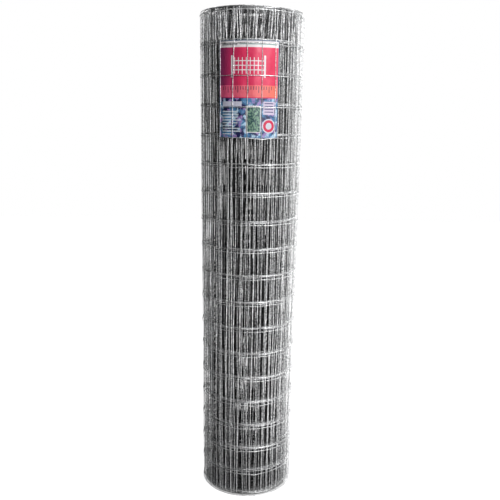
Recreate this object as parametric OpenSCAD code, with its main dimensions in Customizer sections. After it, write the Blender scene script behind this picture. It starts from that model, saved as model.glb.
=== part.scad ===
// Roll of welded wire fencing, standing on its end.
// One length of mesh is wound on itself and drawn as a turned solid with a bore.
// The cut ends of the stay wires and the edge line wires of every turn show on both ends.
// The last turn sits a little lower than the rest and holds a printed label under its wires.

/* [Mesh] */
// Wire diameter
wire_d = 2.03; // [1.6:0.01:3.2]
// Depth that crossing wires sink into each other at a weld
weld_set = 0.66; // [0.3:0.01:1]
// Distance between line wires, which run round the roll
line_spacing = 101.6; // [50:0.1:150]
// Number of spaces between line wires across the mesh
line_spaces = 18; // [8:1:24]
// Distance between stay wires, which run along the roll
stay_spacing = 50.8; // [25:0.1:100]
// Length of stay wire that stands past each edge line wire
stay_overhang = 3; // [2:0.1:10]
// Length of mesh wound on the roll
mesh_length = 30480; // [15000:10:45000]

/* [Roll] */
// Diameter of the bore
bore_d = 100; // [60:1:150]
// How far the last turn sits below the turns inside it
last_turn_drop = 12; // [8:0.5:30]
// How far a single stay stands out of the sheet that stands for the last turn's stays
stay_rise = 0.3; // [0.1:0.01:0.5]
// Angle of one stay wire of the last turn, from the front towards the right
stay_phase = -5; // [-20:0.1:20]

/* [Label] */
// Width of the label, measured round the roll
label_w = 215; // [80:1:400]
// Height of the label
label_h = 315; // [80:1:420]
// Thickness of the label
label_t = 0.3; // [0.1:0.05:0.6]
// Distance from the top ends of the last turn's stays to the label
label_down = 96; // [40:1:300]
// Angle of the label's middle, from the front towards the right
label_angle = -3.6; // [-45:0.1:45]
// Gap between the label and the wires on either side of it
label_gap = 0.1; // [0.05:0.01:0.3]
// Margin round the label where the last turn is drawn as single wires
window_margin = 3; // [1:0.5:10]
// Length of those wires that is held in the sheet beside the margin
stay_hold = 3; // [1:0.5:10]

/* [Hidden] */
$fn = 96;

// Angle of the front of the roll, which faces -Y
front = 270;

// Thickness that one turn adds, with its line wires outside its stays
turn_pitch = 2 * wire_d - weld_set;
bore_r = bore_d / 2;
// Mesh area over turn pitch is the area of the roll's end
outer_r = sqrt(bore_r * bore_r + mesh_length * turn_pitch / PI);
turns = floor((outer_r - bore_r) / turn_pitch);

stay_length = line_spaces * line_spacing + 2 * stay_overhang;
// Inner face of the last turn's stays, and the face of the turn under it
last_turn_r = outer_r - turn_pitch;
// Middle of the last turn's stays
stay_r = last_turn_r + wire_d / 2;
// Middle of the last turn's line wires
line_r = outer_r - wire_d / 2;
// Thickness of the sheet that stands for the last turn's stays
sheet_t = wire_d - stay_rise;

// The label lies in a shallow seat under the last turn's stays
seat_r = last_turn_r - label_t - 2 * label_gap;
label_z = stay_length - label_down - label_h;
label_sweep = label_w / (seat_r + label_gap) * 180 / PI;
margin_sweep = window_margin / stay_r * 180 / PI;
window_sweep = label_sweep + 2 * margin_sweep;
stay_step = stay_spacing / stay_r * 180 / PI;

galvanised = [0.62, 0.63, 0.64];
label_red = [0.80, 0.13, 0.22];

// Part of a ring between two radii, centred on an angle from the front
module ring_sector(inner, outer, bottom, height, middle, sweep) {
    rotate([0, 0, front + middle - sweep / 2])
        rotate_extrude(angle = sweep)
            translate([inner, bottom])
                square([outer - inner, height]);
}

// Gap between the stay ends of two turns, with the edge line wire at its foot
module end_gap(inner) {
    difference() {
        translate([inner + wire_d, 0])
            square([turn_pitch - wire_d, stay_overhang]);
        translate([inner + turn_pitch - wire_d / 2, stay_overhang])
            circle(d = wire_d);
    }
}

// Half section of the turns inside the last one
module inner_turns_section() {
    translate([0, last_turn_drop])
        difference() {
            translate([bore_r, 0])
                square([last_turn_r - bore_r, stay_length]);
            for (turn = [1 : turns - 1]) {
                inner = last_turn_r - turn * turn_pitch;
                end_gap(inner);
                translate([0, stay_length])
                    mirror([0, 1])
                        end_gap(inner);
            }
        }
}

// Half section of the sheet that stands for the last turn's stays
module last_turn_section() {
    translate([last_turn_r, 0])
        square([sheet_t, stay_length]);
}

// Line wires of the last turn
module line_wires() {
    rotate_extrude()
        for (space = [0 : line_spaces])
            translate([line_r, stay_overhang + space * line_spacing])
                circle(d = wire_d);
}

// Space round the label, between the turn under it and the last turn's line wires
module label_window() {
    ring_sector(seat_r, outer_r, label_z - window_margin, label_h + 2 * window_margin,
                label_angle, window_sweep);
}

// Stay wires of the last turn that cross the label
module stays_over_label() {
    first = ceil((label_angle - window_sweep / 2 - stay_phase) / stay_step);
    last = floor((label_angle + window_sweep / 2 - stay_phase) / stay_step);
    reach = window_margin + stay_hold;
    for (stay = [first : last])
        rotate([0, 0, front + stay_phase + stay * stay_step])
            translate([stay_r, 0, label_z - reach])
                rotate([0, 0, 180])
                    cylinder(d = wire_d, h = label_h + 2 * reach);
}

// Wound mesh with its bore, and a window over the label that its wires cross
module mesh_roll() {
    color(galvanised) {
        difference() {
            rotate_extrude() {
                inner_turns_section();
                last_turn_section();
            }
            label_window();
        }
        line_wires();
        stays_over_label();
    }
}

// Printed sheet that follows the roll
module label() {
    color(label_red)
        ring_sector(seat_r + label_gap, seat_r + label_gap + label_t, label_z, label_h,
                    label_angle, label_sweep);
}

mesh_roll();
label();
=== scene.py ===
"""Roll of welded wire fencing on its end, with a printed sheet under its last turn.

The wires are tubes through the welds of the mesh, which lie on one spiral.
"""

import math

import bpy
import numpy as np
from mathutils import Matrix, Vector


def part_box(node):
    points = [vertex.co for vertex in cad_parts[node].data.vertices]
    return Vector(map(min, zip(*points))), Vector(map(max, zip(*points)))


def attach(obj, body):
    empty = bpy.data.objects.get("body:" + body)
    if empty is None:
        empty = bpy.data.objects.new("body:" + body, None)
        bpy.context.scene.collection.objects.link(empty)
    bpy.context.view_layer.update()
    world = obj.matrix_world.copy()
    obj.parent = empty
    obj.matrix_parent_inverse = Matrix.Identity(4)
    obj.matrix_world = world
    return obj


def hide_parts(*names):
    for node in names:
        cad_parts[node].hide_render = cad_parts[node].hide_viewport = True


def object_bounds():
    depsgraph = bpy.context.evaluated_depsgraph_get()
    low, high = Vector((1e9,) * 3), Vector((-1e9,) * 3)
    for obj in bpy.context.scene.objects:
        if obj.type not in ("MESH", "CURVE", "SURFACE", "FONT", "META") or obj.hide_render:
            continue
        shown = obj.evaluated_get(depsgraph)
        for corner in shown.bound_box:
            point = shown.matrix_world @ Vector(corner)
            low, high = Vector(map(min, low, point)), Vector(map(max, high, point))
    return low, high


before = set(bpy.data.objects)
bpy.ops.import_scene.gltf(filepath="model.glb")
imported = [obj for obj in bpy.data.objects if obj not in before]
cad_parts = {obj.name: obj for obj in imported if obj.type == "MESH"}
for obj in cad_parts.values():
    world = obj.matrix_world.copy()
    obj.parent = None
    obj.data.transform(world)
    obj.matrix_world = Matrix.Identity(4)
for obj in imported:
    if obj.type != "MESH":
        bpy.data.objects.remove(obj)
cad_low, cad_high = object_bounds()
label_low, label_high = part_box("label")
full_turn = 2 * math.pi

# Sizes of the mesh in metres, as in the part's source
wire_d = 0.00203
wire_r = wire_d / 2
weld_set = 0.00066
line_spacing = 0.1016
line_spaces = 18
lines = line_spaces + 1
stay_spacing = 0.0508
stay_overhang = 0.003
mesh_length = 30.48
stays = round(mesh_length / stay_spacing) + 1

# Size and place of the label, as in the part's source
label_angle = math.radians(-3.6)
label_w = 0.215
label_h = label_high.z - label_low.z
label_t = 0.0003

# Polar angle of the front, which faces -Y, and of the stay beside it
front = math.radians(270)
stay_phase = math.radians(-5)
# Middle of the last turn's stays at the front, and what each turn adds as it lies in the roll
front_r = 0.1859
turn_pitch = 0.0033
# Spans of the last turn between the stay beside the front and the free end at the back
spans_to_end = 11
front_stay = stays - 1 - spans_to_end
# The winding is measured in turns back from the free end
step = stay_spacing / front_r
front_turns = spans_to_end * step / full_turn
end_angle = front + stay_phase + spans_to_end * step
# Turns of the table of lengths along the spiral, and its steps in a turn
table_turns = 44
table_steps = 720
# Shift of the stays from turn to turn at the front, in stay spacings, and the turns that keep it
stay_stagger = 0.382
slipped_turns = 8

# The last turn stands on the floor, and the inner turns over it by the solids' step and a little more
top_allowance = 0.004
highest_rise = cad_high.z - line_spaces * line_spacing - 2 * stay_overhang + top_allowance
inner_rise = highest_rise - 0.0035
lowest_rise = 0.005
rise_margin = 0.0008
# How far welds lie off the ideal winding: spreads along the roll's surface
weld_sway = 0.0013
weld_jitter = 0.0006
loose_sway = 0.0026
turn_lean = 0.0025
top_sway = 0.0030
loose_top_sway = 0.0040
second_sway = 0.0018
foot_sway = 0.0014
# And spreads up and down, and outward
rise_spread = 0.0024
rise_sag = 0.0030
line_wave = 0.0007
radius_jitter = 0.00015
# Places of each line wire that handling has moved, and how far
knocks = 2
knock_low, knock_high = 0.002, 0.006
# How far the label presses the turn under it inward
label_press = 0.0010
# Bends of the wires between welds: stays sideways, line wires up and down and outward
stay_bow = 0.0005
line_bow = 0.0004
line_bulge = 0.0002

# Painted shade deep in the roll: the share of the zinc's brightness left there, the turns over which it
# falls, and how wires differ
deep_shade_tone = 0.06
bright_turns = 7.0
shade_falloff_turns = 1.8
tone_spread = 0.22
line_tone = 0.78
# Painted light at the top edge: the least share of brightness that the painted shade leaves there, and how
# far down it reaches
edge_lit_tone = 0.32
edge_lit_reach = 0.012

rng = np.random.default_rng(20)


def smooth(values, width, axis=0):
    """Values averaged over about that many neighbours along an axis, brought back to a spread of 1."""
    reach = int(math.ceil(width * 2))
    weights = np.exp(-0.5 * (np.arange(-reach, reach + 1) / width) ** 2)
    pad = [(0, 0)] * values.ndim
    pad[axis] = (reach, reach)
    padded = np.pad(values, pad, mode="wrap")
    out = np.apply_along_axis(lambda row: np.convolve(row, weights, "valid"), axis, padded)
    return (out - out.mean()) / out.std()


def ease(x, low, high):
    """0 below low, 1 above high and a smooth rise between them."""
    t = np.clip((x - low) / (high - low), 0, 1)
    return t * t * (3 - 2 * t)


def around(angle, radius, height):
    """Points in space from angles, radii and heights."""
    return np.stack([radius * np.cos(angle), radius * np.sin(angle), height], -1)


def sideways(angle):
    """Unit steps away from the roll's axis, at these angles."""
    return around(angle, np.ones_like(angle), np.zeros_like(angle))


def between(rows, low, share):
    """Values between a row and the next one."""
    return rows[low] * (1 - share) + rows[low + 1] * share


def radius_at(turns_back):
    """Middle of the stays at a place in the winding."""
    return front_r - turn_pitch * (turns_back - front_turns)


def wind_stays():
    """Turns from the free end back to each stay, with the innermost stay first."""
    turn_table = np.linspace(0, table_turns, table_turns * table_steps + 1)
    radius_table = radius_at(turn_table)
    mean_radius = (radius_table[1:] + radius_table[:-1]) / 2
    length_table = np.concatenate([[0], np.cumsum(mean_radius * np.diff(turn_table) * full_turn)])
    from_front = (np.arange(stays) - front_stay) * stay_spacing
    from_end = np.interp(front_turns, turn_table, length_table) - from_front
    from_end = from_end - from_end[-1]
    turns_back = np.interp(from_end, length_table, turn_table)
    # Turns slip on each other as they are wound, so that the outer turns' stays stand apart
    turn = np.arange(slipped_turns + 1)
    stay_at_front = np.interp(-(front_turns + turn), -turns_back, np.arange(stays))
    slip = (turn * stay_stagger - stay_at_front + stay_at_front[0] + 0.5) % 1 - 0.5
    from_end += stay_spacing * np.interp(turns_back, front_turns + turn, slip)
    return np.interp(from_end, length_table, turn_table)


stay_turns = wind_stays()
stay_angle = end_angle - full_turn * stay_turns
stay_radius = radius_at(stay_turns)
weld_grid = (stays, lines)
# The turns under the outer ones lie looser
looseness = ease(stay_turns, 1.2, 4)


def sway_of_welds():
    """How far each weld has moved round the roll."""
    sway = weld_sway * smooth(rng.standard_normal(weld_grid), 2.2, 1)
    sway += weld_jitter * rng.standard_normal(weld_grid)
    sway += loose_sway * looseness[:, None] * smooth(rng.standard_normal(weld_grid), 1.2, 1)
    # Whole turns lean to and fro under the last one
    lean = smooth(smooth(rng.standard_normal(weld_grid), 8, 0), 2.0, 1)
    sway += turn_lean * ease(stay_turns, 0.8, 1.6)[:, None] * lean
    # The ends of the stays stray most
    sway[:, -1] += (top_sway + loose_top_sway * looseness) * rng.standard_normal(stays)
    sway[:, -2] += second_sway * rng.standard_normal(stays)
    sway[:, 0] += foot_sway * rng.standard_normal(stays)
    return sway


def lift_of_welds():
    """How far each weld has moved up."""
    rise = inner_rise + rise_spread * smooth(rng.standard_normal(stays), 4)
    rise -= rise_sag * looseness * np.abs(smooth(rng.standard_normal(stays), 7))
    rise = np.clip(rise, lowest_rise, highest_rise - rise_margin)
    # The outer turns step up one by one from the last
    steps_up = 1 - 0.2 * np.exp(-np.maximum(stay_turns - 1, 0) / 1.5)
    rise *= ease(stay_turns, 0.5, 0.98) * steps_up
    lift = rise[:, None] + line_wave * smooth(rng.standard_normal(weld_grid), 1.5, 0)
    lift = np.clip(lift, 0, highest_rise)
    # A few places of the last turn are knocked down or up
    for line in range(1, lines - 1):
        knocked = rng.choice(np.flatnonzero(stay_turns < 0.98), knocks, replace=False)
        way = rng.choice([-1, 1], knocks, p=[0.75, 0.25])
        lift[knocked, line] += way * rng.uniform(knock_low, knock_high, knocks)
    return lift


def pressed_in(height):
    """How far the label presses each weld of the turns under it inward."""
    off_label = np.abs((stay_angle - front - label_angle + math.pi) % full_turn - math.pi)
    under = 1 - ease(off_label, 0.55, 0.95)
    beside = ease(height, label_low.z - 0.12, label_low.z - 0.02)
    depth = label_press * np.exp(-(stay_turns - 1) / 3) * under * (stay_turns > 1)
    return depth[:, None] * beside


# Every weld of the mesh has a place: angle, height and radius
weld_angle = stay_angle[:, None] + sway_of_welds() / stay_radius[:, None]
weld_height = stay_overhang + line_spacing * np.arange(lines)[None, :] + lift_of_welds()
weld_radius = stay_radius[:, None] + radius_jitter * rng.standard_normal(weld_grid)
weld_radius = weld_radius - pressed_in(weld_height)


def wire_tone_and_shade(turns_back, height, chance):
    """Share of the zinc's brightness under painted shade: full on the last turns, dark inside, lifted near
    the top edge, varied by chance.
    """
    # Painted shade: the wires darken with their depth in the roll
    fall = 1 + np.exp((turns_back - bright_turns) / shade_falloff_turns)
    tone = deep_shade_tone + (1 - deep_shade_tone) / fall
    # Painted light: near the top edge the painted shade is lifted
    from_edge = np.maximum(cad_high.z - height, 0)
    tone = tone + np.maximum(edge_lit_tone - tone, 0) * np.exp(-from_edge / edge_lit_reach)
    return np.clip(tone * (1 + tone_spread * chance), 0.03, 1)


def make_mesh(name, verts, corners, sizes):
    """Smooth mesh from arrays: all faces' corners in a row, and each face's number of corners."""
    mesh = bpy.data.meshes.new(name)
    starts = np.concatenate([[0], np.cumsum(sizes)[:-1]])
    mesh.vertices.add(len(verts))
    mesh.vertices.foreach_set("co", verts.astype(np.float32).ravel())
    mesh.loops.add(len(corners))
    mesh.loops.foreach_set("vertex_index", corners.astype(np.int32))
    mesh.polygons.add(len(sizes))
    mesh.polygons.foreach_set("loop_start", starts.astype(np.int32))
    mesh.polygons.foreach_set("loop_total", sizes.astype(np.int32))
    mesh.polygons.foreach_set("use_smooth", np.ones(len(sizes), bool))
    mesh.update(calc_edges=True)
    mesh.set_sharp_from_angle(angle=math.radians(80))
    mesh.validate()
    return mesh


def lay_map(mesh, name, u, v):
    """Texture map with a place for each corner of a mesh."""
    flat = np.stack([u, v], -1)
    layer = mesh.uv_layers.new(name=name)
    layer.data.foreach_set("uv", flat.astype(np.float32).ravel())


def lay_strips(mesh, wires, points, sides):
    """Texture map of a tube mesh: wires in strips one above the other, caps at the strips' ends."""
    strips = math.ceil(220 / wires)
    strip_points = math.ceil((points - 1) / strips)
    span = np.arange(points - 1)
    strip = np.arange(wires)[:, None] * strips + span // strip_points
    along = span % strip_points
    u = 0.01 + 0.95 * np.stack([along, along, along + 1, along + 1], -1) / strip_points
    u = np.broadcast_to(u[None, :, None, :], (wires, points - 1, sides, 4))
    side = np.arange(sides)
    across = (0.1 + 0.8 * np.stack([side, side + 1, side + 1, side], -1) / sides)[None, None]
    v = (strip[:, :, None, None] + across) / (wires * strips)
    turn = full_turn * side / sides
    ends = np.array([0.973, 0.990])[:, None, None]
    cap_u = np.broadcast_to(ends + 0.006 * np.cos(turn), (2, wires, sides))
    cap_strip = np.arange(wires)[:, None] * strips
    cap_v = (cap_strip + 0.5 + 0.35 * np.sin(turn)) / (wires * strips)
    cap_v = np.broadcast_to(cap_v, (2, wires, sides))
    all_u = np.concatenate([u.ravel(), cap_u.ravel()])
    all_v = np.concatenate([v.ravel(), cap_v.ravel()])
    lay_map(mesh, "OFBake", all_u, all_v)


def tube_mesh(name, centre, side_a, side_b, sides, tone):
    """Mesh of many round wires with cut ends: centre and sides are wires by points by 3."""
    wires, points = centre.shape[:2]
    turn = (full_turn * np.arange(sides) / sides)[:, None]
    ring = np.cos(turn) * side_a[:, :, None, :] + np.sin(turn) * side_b[:, :, None, :]
    verts = (centre[:, :, None, :] + wire_r * ring).reshape(-1, 3)
    index = np.arange(wires * points * sides).reshape(wires, points, sides)
    after = np.roll(index, -1, 2)
    quads = np.stack([index[:, :-1], after[:, :-1], after[:, 1:], index[:, 1:]], -1)
    caps = np.concatenate([index[:, 0, ::-1], index[:, -1]])
    corners = np.concatenate([quads.ravel(), caps.ravel()])
    sizes = np.concatenate([np.full(quads.size // 4, 4), np.full(len(caps), sides)])
    mesh = make_mesh(name, verts, corners, sizes)
    # The tone attribute carries random tone and the painted shade deep in the roll
    shade = mesh.attributes.new("tone", "FLOAT", "POINT")
    shade.data.foreach_set("value", np.repeat(tone.astype(np.float32), sides, axis=1).ravel())
    lay_strips(mesh, wires, points, sides)
    return mesh


def stay_tubes(name, first, last, segments, sides):
    """Wires along the roll: the stays from first up to last, in segments from weld to weld."""
    chosen = slice(first, last)
    along = np.arange(line_spaces * segments + 1) / segments
    low = np.minimum(along.astype(int), lines - 2)
    share = (along - low)[:, None]
    angle = between(weld_angle[chosen].T, low, share).T
    radius = between(weld_radius[chosen].T, low, share).T
    height = between(weld_height[chosen].T, low, share).T
    bow = stay_bow * rng.standard_normal(angle.shape) * (share.T > 0)
    angle = angle + bow / radius
    # The cut ends stand past the edge line wires
    angle = np.concatenate([angle[:, :1], angle, angle[:, -1:]], 1)
    radius = np.concatenate([radius[:, :1], radius, radius[:, -1:]], 1)
    foot = height[:, :1] - stay_overhang
    tip = height[:, -1:] + stay_overhang
    height = np.concatenate([foot, height, tip], 1)
    outward = sideways(angle)
    across = sideways(angle + math.pi / 2)
    chance = rng.standard_normal((len(angle), 1))
    tone = wire_tone_and_shade(stay_turns[chosen][:, None], height, chance)
    return tube_mesh(name, around(angle, radius, height), outward, across, sides, tone)


def hooks(angle, radius, height):
    """Ends of the line wires past the last stay, turned back round a wire of the turn inside."""
    count = len(angle)
    bend_r = rng.uniform(0.0024, 0.0032, (count, 1))
    reach = rng.uniform(0.006, 0.012, (count, 1))
    tail = rng.uniform(0.006, 0.012, (count, 1))
    bend = np.radians(np.array([0, 30, 60, 90, 120, 150, 180]))[None, :]
    ahead = np.concatenate([reach + bend_r * np.sin(bend), reach - tail], 1)
    inward = np.concatenate([bend_r * (1 - np.cos(bend)), 2 * bend_r + 0.0003], 1)
    forward = sideways(angle + math.pi / 2)
    outward = sideways(angle)
    start = around(angle, radius, height)
    return start[:, None] + ahead[..., None] * forward[:, None] - inward[..., None] * outward[:, None]


def line_tubes(name, first, last, segments, sides):
    """Wires round the roll, outside the stays from first to last, in segments from weld to weld."""
    along = first + np.arange((last - first) * segments + 1) / segments
    low = np.minimum(along.astype(int), stays - 2)
    share = (along - low)[:, None]
    angle = between(weld_angle, low, share)
    radius = between(weld_radius, low, share)
    height = between(weld_height, low, share)
    off_weld = share > 0
    height = height + line_bow * rng.standard_normal(height.shape) * off_weld
    radius = radius + wire_d - weld_set
    radius = radius + line_bulge * rng.standard_normal(radius.shape) * off_weld
    centre = around(angle, radius, height).transpose(1, 0, 2)
    turns_back = np.interp(along, np.arange(stays), stay_turns)
    if last == stays - 1:
        ends = hooks(angle[-1], radius[-1], height[-1])
        centre = np.concatenate([centre, ends], 1)
        turns_back = np.concatenate([turns_back, np.zeros(ends.shape[1])])
    tangent = np.gradient(centre, axis=1)
    upward = np.broadcast_to(np.array([0.0, 0.0, 1.0]), tangent.shape)
    outward = np.cross(tangent, upward)
    outward /= np.linalg.norm(outward, axis=2, keepdims=True)
    chance = smooth(rng.standard_normal(centre.shape[:2]), 0.8, 1)
    chance = chance * np.where(turns_back < 1, 0.4, 2.2)
    tone = wire_tone_and_shade(turns_back[None, :], centre[..., 2], chance) * line_tone
    return tube_mesh(name, centre, upward, outward, sides, tone)


def link(name, mesh, material, node):
    """A piece of the object that rides on the roll's body and stands for a node."""
    piece = bpy.data.objects.new(name, mesh)
    bpy.context.scene.collection.objects.link(piece)
    mesh.materials.append(material)
    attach(piece, "root")
    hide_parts(node)


class Paint:
    """Short names for the nodes of one material, or of another node tree."""

    def __init__(self, name, tree=None):
        if tree is None:
            self.material = bpy.data.materials.new(name)
            self.material.use_nodes = True
            tree = self.material.node_tree
            self.shader = tree.nodes["Principled BSDF"]
        self.tree = tree

    def node(self, kind, **settings):
        """New node with its settings."""
        made = self.tree.nodes.new("ShaderNode" + kind)
        for key, value in settings.items():
            setattr(made, key, value)
        return made

    def feed(self, socket, value):
        """Link or fixed value for a socket."""
        if isinstance(value, bpy.types.NodeSocket):
            self.tree.links.new(value, socket)
        else:
            socket.default_value = value

    def math(self, operation, *values):
        """Result of a sum."""
        made = self.node("Math", operation=operation)
        for socket, value in zip(made.inputs, values):
            self.feed(socket, value)
        return made.outputs[0]

    def times(self, first, second):
        """Product of two values, or the mask where two masks meet."""
        return self.math("MULTIPLY", first, second)

    def mix(self, share, first, second):
        """Colour between two colours."""
        made = self.node("Mix", data_type="RGBA")
        self.feed(made.inputs["Factor"], share)
        self.feed(made.inputs["A"], first)
        self.feed(made.inputs["B"], second)
        return made.outputs["Result"]

    def noise(self, place, scale, detail):
        """Cloudy values from 0 to 1."""
        made = self.node("TexNoise")
        self.feed(made.inputs["Vector"], place)
        made.inputs["Scale"].default_value = scale
        made.inputs["Detail"].default_value = detail
        return made.outputs["Fac"]

    def span(self, value, low, high, to_low, to_high):
        """Value from low to high brought to another span, and held at its ends."""
        made = self.node("MapRange")
        self.feed(made.inputs["Value"], value)
        made.inputs["From Min"].default_value = low
        made.inputs["From Max"].default_value = high
        made.inputs["To Min"].default_value = to_low
        made.inputs["To Max"].default_value = to_high
        return made.outputs["Result"]

    def axes(self, place):
        """The three coordinates of a place."""
        made = self.node("SeparateXYZ")
        self.feed(made.inputs[0], place)
        return made.outputs

    def within(self, value, low, high):
        """Mask where a value lies between two others."""
        above = self.math("GREATER_THAN", value, low)
        return self.times(above, self.math("LESS_THAN", value, high))

    def bump(self, height, strength, distance):
        """Relief on the surface."""
        made = self.node("Bump")
        made.inputs["Strength"].default_value = strength
        made.inputs["Distance"].default_value = distance
        self.feed(made.inputs["Height"], height)
        self.feed(self.shader.inputs["Normal"], made.outputs["Normal"])


def zinc_material():
    """Zinc-coated steel, with cloudy brightness and speckles along each wire, darkened by the painted
    shade in the tone attribute.
    """
    zinc = Paint("galvanised_wire")
    place = zinc.node("TexCoord").outputs["Object"]
    cloud = zinc.noise(place, 90, 4)
    grain = zinc.noise(place, 900, 2)
    dull_zinc = (0.66, 0.67, 0.68, 1)
    bright_zinc = (0.98, 0.985, 0.99, 1)
    colour = zinc.mix(zinc.span(cloud, 0.3, 0.7, 0, 1), dull_zinc, bright_zinc)
    speckle = zinc.span(zinc.noise(place, 210, 2), 0.36, 0.64, 0.38, 1.42)
    # Tone holds the painted shade deep in the roll, besides random tone
    tone = zinc.node("Attribute", attribute_name="tone").outputs["Fac"]
    scaled = zinc.node("VectorMath", operation="SCALE")
    zinc.feed(scaled.inputs[0], colour)
    zinc.feed(scaled.inputs["Scale"], zinc.times(tone, speckle))
    zinc.feed(zinc.shader.inputs["Base Color"], scaled.outputs["Vector"])
    zinc.feed(zinc.shader.inputs["Roughness"], zinc.span(cloud, 0.3, 0.7, 0.55, 0.3))
    zinc.shader.inputs["Metallic"].default_value = 0.8
    zinc.bump(grain, 0.25, 0.0002)
    return zinc.material


# Wires nearer the outside have more segments and sides
zinc = zinc_material()
last_stay = stays - 1
outer_from = int(np.searchsorted(-stay_turns, -2.0))
middle_from = int(np.searchsorted(-stay_turns, -14.0))
for make, name, first, last, segments, sides in (
    (stay_tubes, "outer_stays", outer_from, stays, 3, 8),
    (stay_tubes, "inner_stays", 0, outer_from, 1, 6),
    (line_tubes, "outer_lines", outer_from, last_stay, 4, 8),
    (line_tubes, "middle_lines", middle_from, outer_from, 2, 6),
    (line_tubes, "inner_lines", 0, middle_from, 2, 5),
):
    link(name, make(name, first, last, segments, sides), zinc, "mesh_roll")

# The printed sheet as a grid: shares of its width and height
across_steps = 108
up_steps = 158
sheet_u = np.linspace(0, 1, across_steps + 1)
sheet_v = np.linspace(0, 1, up_steps + 1)
# How far it swells out between stays, how near a line wire it is held down, and how its edges curl
sheet_swell = 0.0018
held_reach = 0.02
side_curl = 0.0012
top_curl = 0.0009


def swell_of_cells(cells, height):
    """How far the sheet swells in each space between stays, less beside the line wires."""
    chance = smooth(rng.standard_normal((cells, len(height))), 14, 1)
    chance = np.abs(smooth(chance, 0.6, 0))
    swell = np.clip(0.35 + 0.55 * chance, 0, 1.5) * sheet_swell
    from_line = (height - stay_overhang + line_spacing / 2) % line_spacing - line_spacing / 2
    return swell * (1 - 0.7 * np.exp(-((from_line / held_reach) ** 2)))


def sheet_radius(angle, height):
    """Radius of the sheet, which lies against the last turn's stays from inside: rows by columns."""
    near = np.arange(front_stay - 4, front_stay + 5)
    near_angle = np.array([np.interp(height, weld_height[i], weld_angle[i]) for i in near])
    near_radius = np.array([np.interp(height, weld_height[i], weld_radius[i]) for i in near])
    swell = swell_of_cells(len(near), height)
    radius = np.zeros((len(height), len(angle)))
    for row in range(len(height)):
        whole_turns = np.round((front - near_angle[:, row]) / full_turn)
        stay_at = near_angle[:, row] + full_turn * whole_turns
        place = np.interp(angle, stay_at, np.arange(len(near)))
        cell = np.minimum(place.astype(int), len(near) - 2)
        under = np.interp(angle, stay_at, near_radius[:, row]) - wire_r - label_t
        radius[row] = under + swell[cell, row] * np.sin(math.pi * (place - cell)) ** 2
    curl = side_curl * ease(sheet_u, 0.955, 1.0)[None, :]
    return radius + (curl + top_curl * ease(sheet_v, 0.965, 1.0)[:, None])


def sheet_mesh():
    """Closed thin sheet, with the map of its print and a mark on its printed side."""
    label_arc = label_w / (front_r - wire_r)
    angle = front + label_angle + (sheet_u - 0.5) * label_arc
    height = label_low.z + sheet_v * label_h
    radius = sheet_radius(angle, height)
    shape, size = radius.shape, radius.size
    angles = np.broadcast_to(angle, shape)
    heights = np.broadcast_to(height[:, None], shape)
    face = around(angles, radius + label_t / 2, heights).reshape(-1, 3)
    back = around(angles, radius - label_t / 2, heights).reshape(-1, 3)
    grid = np.arange(size).reshape(shape)
    quads = np.stack([grid[:-1, :-1], grid[:-1, 1:], grid[1:, 1:], grid[1:, :-1]], -1).reshape(-1, 4)
    rim = np.concatenate([grid[0, :-1], grid[:-1, -1], grid[-1, :0:-1], grid[:0:-1, 0]])
    rim_after = np.roll(rim, -1)
    rim_quads = np.stack([rim + size, rim_after + size, rim_after, rim], -1)
    quads = np.concatenate([quads, quads[:, ::-1] + size, rim_quads])
    verts = np.concatenate([face, back])
    mesh = make_mesh("label_sheet", verts, quads.ravel(), np.full(len(quads), 4))
    corner = np.zeros(len(mesh.loops), np.int32)
    mesh.loops.foreach_get("vertex_index", corner)
    u = np.tile(np.broadcast_to(sheet_u, shape).ravel(), 2)
    v = np.tile(np.broadcast_to(sheet_v[:, None], shape).ravel(), 2)
    lay_map(mesh, "print", u[corner], v[corner])
    side_mark = mesh.attributes.new("printed", "FLOAT", "POINT")
    side_mark.data.foreach_set("value", np.repeat(np.array([1, 0], np.float32), size))
    return mesh


class Print(Paint):
    """Paint of the sheet: motifs laid one over the other, on a map from 0 to 1 each way."""

    def __init__(self, name):
        super().__init__(name)
        self.u, self.v, _ = self.axes(self.node("UVMap", uv_map="print").outputs["UV"])
        self.place = self.node("TexCoord").outputs["Object"]

    def lay(self, mask, colour):
        """Colour over what is there, where the mask is 1."""
        self.colour = self.mix(mask, self.colour, colour)

    def box(self, u_low, u_high, v_low, v_high):
        """Mask of a rectangle."""
        return self.times(self.within(self.u, u_low, u_high), self.within(self.v, v_low, v_high))

    def stripes(self, along, count, low, high):
        """Mask of evenly spaced stripes, each from low to high of its share."""
        return self.within(self.math("FRACT", self.times(along, count)), low, high)

    def clouds(self, scale, detail, low, high, most=1):
        """Soft mask of cloudy patches."""
        return self.span(self.noise(self.place, scale, detail), low, high, 0, most)

    def away_from(self, u, v):
        """Distance in metres from a place on the sheet."""
        du = self.times(self.math("SUBTRACT", self.u, u), label_w)
        dv = self.times(self.math("SUBTRACT", self.v, v), label_h)
        return self.math("SQRT", self.math("ADD", self.times(du, du), self.times(dv, dv)))


white_ink = (0.80, 0.76, 0.78, 1)
dark_ink = (0.04, 0.02, 0.05, 1)
crimson_in_painted_shade = (0.20, 0.024, 0.12, 1)
crimson = (0.64, 0.026, 0.10, 1)
scarlet = (0.70, 0.030, 0.095, 1)
rose = (0.70, 0.085, 0.22, 1)
coral = (0.84, 0.19, 0.12, 1)
navy = (0.008, 0.012, 0.065, 1)
blue = (0.07, 0.20, 0.38, 1)
pale_blue = (0.42, 0.60, 0.76, 1)
violet = (0.34, 0.22, 0.50, 1)
# Heights on the sheet: the blue field's top, and the band between the field and the crimson block
field_high = 0.42
band_low = 0.43
band_high = 0.55
crimson_high = 0.93
# Lines of small print in the sheet's height
small_lines = 34.0


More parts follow.
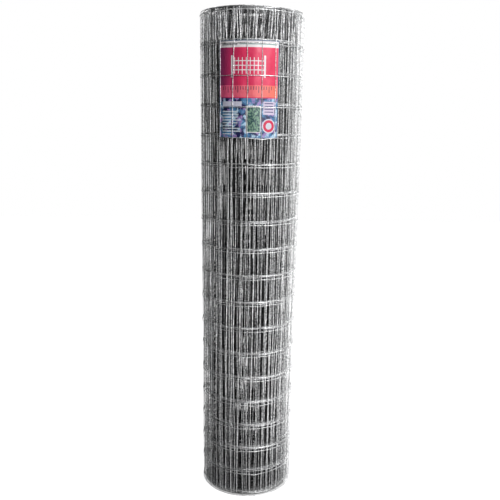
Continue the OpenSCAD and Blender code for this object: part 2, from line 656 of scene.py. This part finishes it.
def print_crimson(sheet):
    """Crimson block, darkened by painted shade to the left, with a pictogram: two posts and a mesh between
    them.
    """
    # Painted shade: the crimson darkens towards the left
    left = sheet.mix(sheet.span(sheet.u, 0.0, 0.35, 0, 1), crimson_in_painted_shade, crimson)
    sheet.colour = sheet.mix(sheet.span(sheet.u, 0.35, 1.0, 0, 1), left, scarlet)
    for post in (0.22, 0.75):
        sheet.lay(sheet.box(post, post + 0.03, 0.63, 0.85), white_ink)
    upright = sheet.stripes(sheet.u, 16.0, 0.40, 0.60)
    level = sheet.stripes(sheet.v, 22.0, 0.40, 0.60)
    fence = sheet.box(0.25, 0.75, 0.665, 0.83)
    sheet.lay(sheet.times(sheet.math("MAXIMUM", upright, level), fence), white_ink)


def print_band(sheet):
    """Coral band with a ruler's marks."""
    band = sheet.mix(sheet.u, rose, coral)
    sheet.lay(sheet.within(sheet.v, band_low, band_high), band)
    short = sheet.times(sheet.stripes(sheet.u, 24.0, 0.0, 0.25), sheet.within(sheet.v, 0.505, 0.54))
    tall = sheet.times(sheet.stripes(sheet.u, 6.0, 0.0, 0.0625), sheet.within(sheet.v, 0.475, 0.54))
    ticks = sheet.math("MAXIMUM", short, tall)
    sheet.lay(sheet.times(ticks, sheet.within(sheet.u, 0.08, 0.92)), dark_ink)


def print_field(sheet):
    """Cloudy field of navy, blue and violet."""
    field = sheet.mix(sheet.clouds(34, 4, 0.44, 0.56), navy, blue)
    field = sheet.mix(sheet.clouds(50, 3, 0.54, 0.60), field, pale_blue)
    field = sheet.mix(sheet.clouds(64, 2, 0.55, 0.63, 0.9), field, violet)
    sheet.lay(sheet.math("LESS_THAN", sheet.v, field_high), field)


def print_rules(sheet):
    """Column of rules with ragged ends, under a pale bar."""
    ragged = sheet.node("TexWhiteNoise", noise_dimensions="1D")
    sheet.feed(ragged.inputs["W"], sheet.math("FLOOR", sheet.times(sheet.v, small_lines)))
    rule_end = sheet.span(ragged.outputs["Value"], 0.0, 1.0, 0.26, 0.40)
    rules = sheet.times(sheet.stripes(sheet.v, small_lines, 0.30, 0.72), sheet.box(0.07, 0.42, 0.04, 0.30))
    rules = sheet.times(rules, sheet.math("LESS_THAN", sheet.u, rule_end))
    sheet.lay(rules, (0.60, 0.68, 0.74, 1))
    sheet.lay(sheet.box(0.07, 0.40, 0.335, 0.385), (0.60, 0.60, 0.72, 1))


def print_pictures(sheet):
    """Framed patch of greenery, a pale tag with lines and a ring badge."""
    leaves = sheet.clouds(170, 3, 0.42, 0.58)
    greenery = sheet.mix(leaves, (0.012, 0.05, 0.06, 1), (0.20, 0.34, 0.24, 1))
    sheet.lay(sheet.box(0.47, 0.71, 0.06, 0.34), white_ink)
    sheet.lay(sheet.box(0.48, 0.70, 0.067, 0.333), greenery)
    sheet.lay(sheet.box(0.75, 0.94, 0.25, 0.385), (0.62, 0.54, 0.68, 1))
    tag_lines = sheet.stripes(sheet.v, small_lines, 0.25, 0.6)
    sheet.lay(sheet.times(tag_lines, sheet.box(0.77, 0.92, 0.265, 0.37)), (0.06, 0.06, 0.16, 1))
    badge = sheet.away_from(0.845, 0.13)
    sheet.lay(sheet.math("LESS_THAN", badge, 0.024), (0.66, 0.66, 0.74, 1))
    sheet.lay(sheet.within(badge, 0.011, 0.020), (0.60, 0.03, 0.09, 1))


def print_edges(sheet):
    """Pale strip along the top with a row of marks, a dark edge all round and a plain back."""
    sheet.lay(sheet.math("GREATER_THAN", sheet.v, crimson_high), white_ink)
    marks = sheet.times(sheet.stripes(sheet.u, 40.0, 0.1, 0.75), sheet.box(0.06, 0.32, 0.950, 0.968))
    sheet.lay(marks, (0.16, 0.18, 0.20, 1))
    sheet.lay(sheet.box(0.36, 0.94, 0.957, 0.963), (0.12, 0.34, 0.30, 1))
    inside = sheet.box(0.012, 0.988, 0.008, 0.992)
    sheet.lay(sheet.math("SUBTRACT", 1.0, inside), (0.10, 0.16, 0.26, 1))
    printed = sheet.node("Attribute", attribute_name="printed").outputs["Fac"]
    sheet.lay(sheet.math("LESS_THAN", printed, 0.5), (0.72, 0.72, 0.70, 1))


def label_material():
    """Glossy printed sheet, a little creased."""
    sheet = Print("label_print")
    for motif in (print_crimson, print_band, print_field, print_rules, print_pictures, print_edges):
        motif(sheet)
    sheet.feed(sheet.shader.inputs["Base Color"], sheet.colour)
    gloss = sheet.span(sheet.noise(sheet.place, 60, 3), 0.3, 0.7, 0.3, 0.45)
    sheet.feed(sheet.shader.inputs["Roughness"], gloss)
    sheet.bump(sheet.noise(sheet.place, 45, 4), 0.45, 0.003)
    return sheet.material


link("label_sheet", sheet_mesh(), label_material(), "label")

# Floor and light
floor_half = 8
floor_gleam = 5.2
sky_shine = 1.5
sky_gleam = 2.3
soft_light = 0.06


def floor_material():
    """Pale floor: white up to the roll, with painted shade under it, and a one-sided gleam where metal
    mirrors it.
    """
    pale = Paint("pale_floor")
    pale.shader.inputs["Base Color"].default_value = (0.4, 0.4, 0.4, 1)
    pale.shader.inputs["Roughness"].default_value = 0.8
    pale.shader.inputs["Emission Color"].default_value = (1, 1, 1, 1)
    path = pale.node("LightPath").outputs
    place = pale.node("NewGeometry").outputs["Position"]
    length = pale.node("VectorMath", operation="LENGTH")
    pale.feed(length.inputs[0], place)
    from_axis = length.outputs["Value"]
    # Painted shade under the roll: the white for the camera stops at the roll's footprint
    seen = pale.times(path["Is Camera Ray"], pale.span(from_axis, 0.17, 0.19, 0.0, 0.95))
    # Bright to the front right, dark to the left and duller beside the roll
    to_right = pale.axes(place)["X"]
    gleam = pale.span(to_right, -0.3, 0.6, 0.0, floor_gleam)
    gleam = pale.times(gleam, pale.span(to_right, 0.7, 2.4, 1.0, 0.25))
    gleam = pale.times(gleam, pale.span(from_axis, 0.2, 2.4, 0.16, 1.0))
    mirrored = pale.times(path["Is Glossy Ray"], gleam)
    pale.feed(pale.shader.inputs["Emission Strength"], pale.math("ADD", seen, mirrored))
    return pale.material


def make_floor():
    """Square floor under the roll."""
    mesh = bpy.data.meshes.new("floor")
    corners = [(-1, -1), (1, -1), (1, 1), (-1, 1)]
    mesh.from_pydata([(floor_half * x, floor_half * y, 0) for x, y in corners], [], [(0, 1, 2, 3)])
    mesh.materials.append(floor_material())
    floor = bpy.data.objects.new("floor", mesh)
    bpy.context.scene.collection.objects.link(floor)


def make_sky():
    """White for the camera and through clear things, a dim light, and a studio that metal mirrors."""
    world = bpy.data.worlds.new("studio")
    bpy.context.scene.world = world
    world.use_nodes = True
    sky = Paint("sky", world.node_tree)
    path = sky.node("LightPath").outputs
    clear = sky.math("MAXIMUM", path["Is Camera Ray"], path["Is Transmission Ray"])
    # Bright to the right and overhead, and dark to the left
    axes = sky.axes(sky.node("TexCoord").outputs["Generated"])
    shine = sky.span(axes["X"], -0.2, 0.4, 0.0, sky_shine)
    shine = sky.times(shine, sky.span(axes["X"], 0.4, 1.0, 1.0, 0.3))
    shine = sky.times(shine, sky.span(axes["Z"], -0.1, 0.6, 1.0, sky_gleam))
    shine = sky.times(shine, path["Is Glossy Ray"])
    white = sky.times(clear, 1 - soft_light)
    strength = sky.math("ADD", white, sky.math("ADD", shine, soft_light))
    background = world.node_tree.nodes["Background"]
    sky.feed(background.inputs["Strength"], strength)
    background.inputs["Color"].default_value = (1, 1, 1, 1)


def lamp(name, place, aim, size, watts):
    """Square soft light at a place, turned to a point."""
    light = bpy.data.lights.new(name, "AREA")
    light.size = size
    light.energy = watts
    holder = bpy.data.objects.new(name, light)
    holder.location = place
    holder.rotation_euler = (Vector(aim) - Vector(place)).to_track_quat("-Z", "Y").to_euler()
    bpy.context.scene.collection.objects.link(holder)


make_floor()
make_sky()
lamp("key", (3.0, -3.0, 4.2), (0, 0, 0.9), 1.2, 215)
lamp("fill", (1.1, -3.1, 2.5), (0, 0, 1.0), 0.8, 28)
lamp("back", (1.2, 3.5, 2.4), (0, 0, 0.9), 1.2, 70)

# Camera fitted to the photo: its side and focal length in pixels, and its middle's shift
photo_side = 500
focal_length = 624.02
shift_right, shift_up = 1.7, 69.0
camera_place = (0, -2.4434, 1.4566)
looking_down = math.radians(16.98)
camera_roll = math.radians(0.77)
sensor_width = 36

camera_data = bpy.data.cameras.new("camera")
camera_data.sensor_width = sensor_width
camera_data.lens = focal_length * sensor_width / photo_side
camera_data.shift_x = shift_right / photo_side
camera_data.shift_y = shift_up / photo_side
camera = bpy.data.objects.new("camera", camera_data)
tilt = Matrix.Rotation(math.pi / 2 - looking_down, 4, "X")
roll = Matrix.Rotation(camera_roll, 4, "Z")
camera.matrix_world = Matrix.Translation(camera_place) @ tilt @ roll
bpy.context.scene.collection.objects.link(camera)
bpy.context.scene.camera = camera
bpy.context.scene.view_settings.view_transform = "Standard"
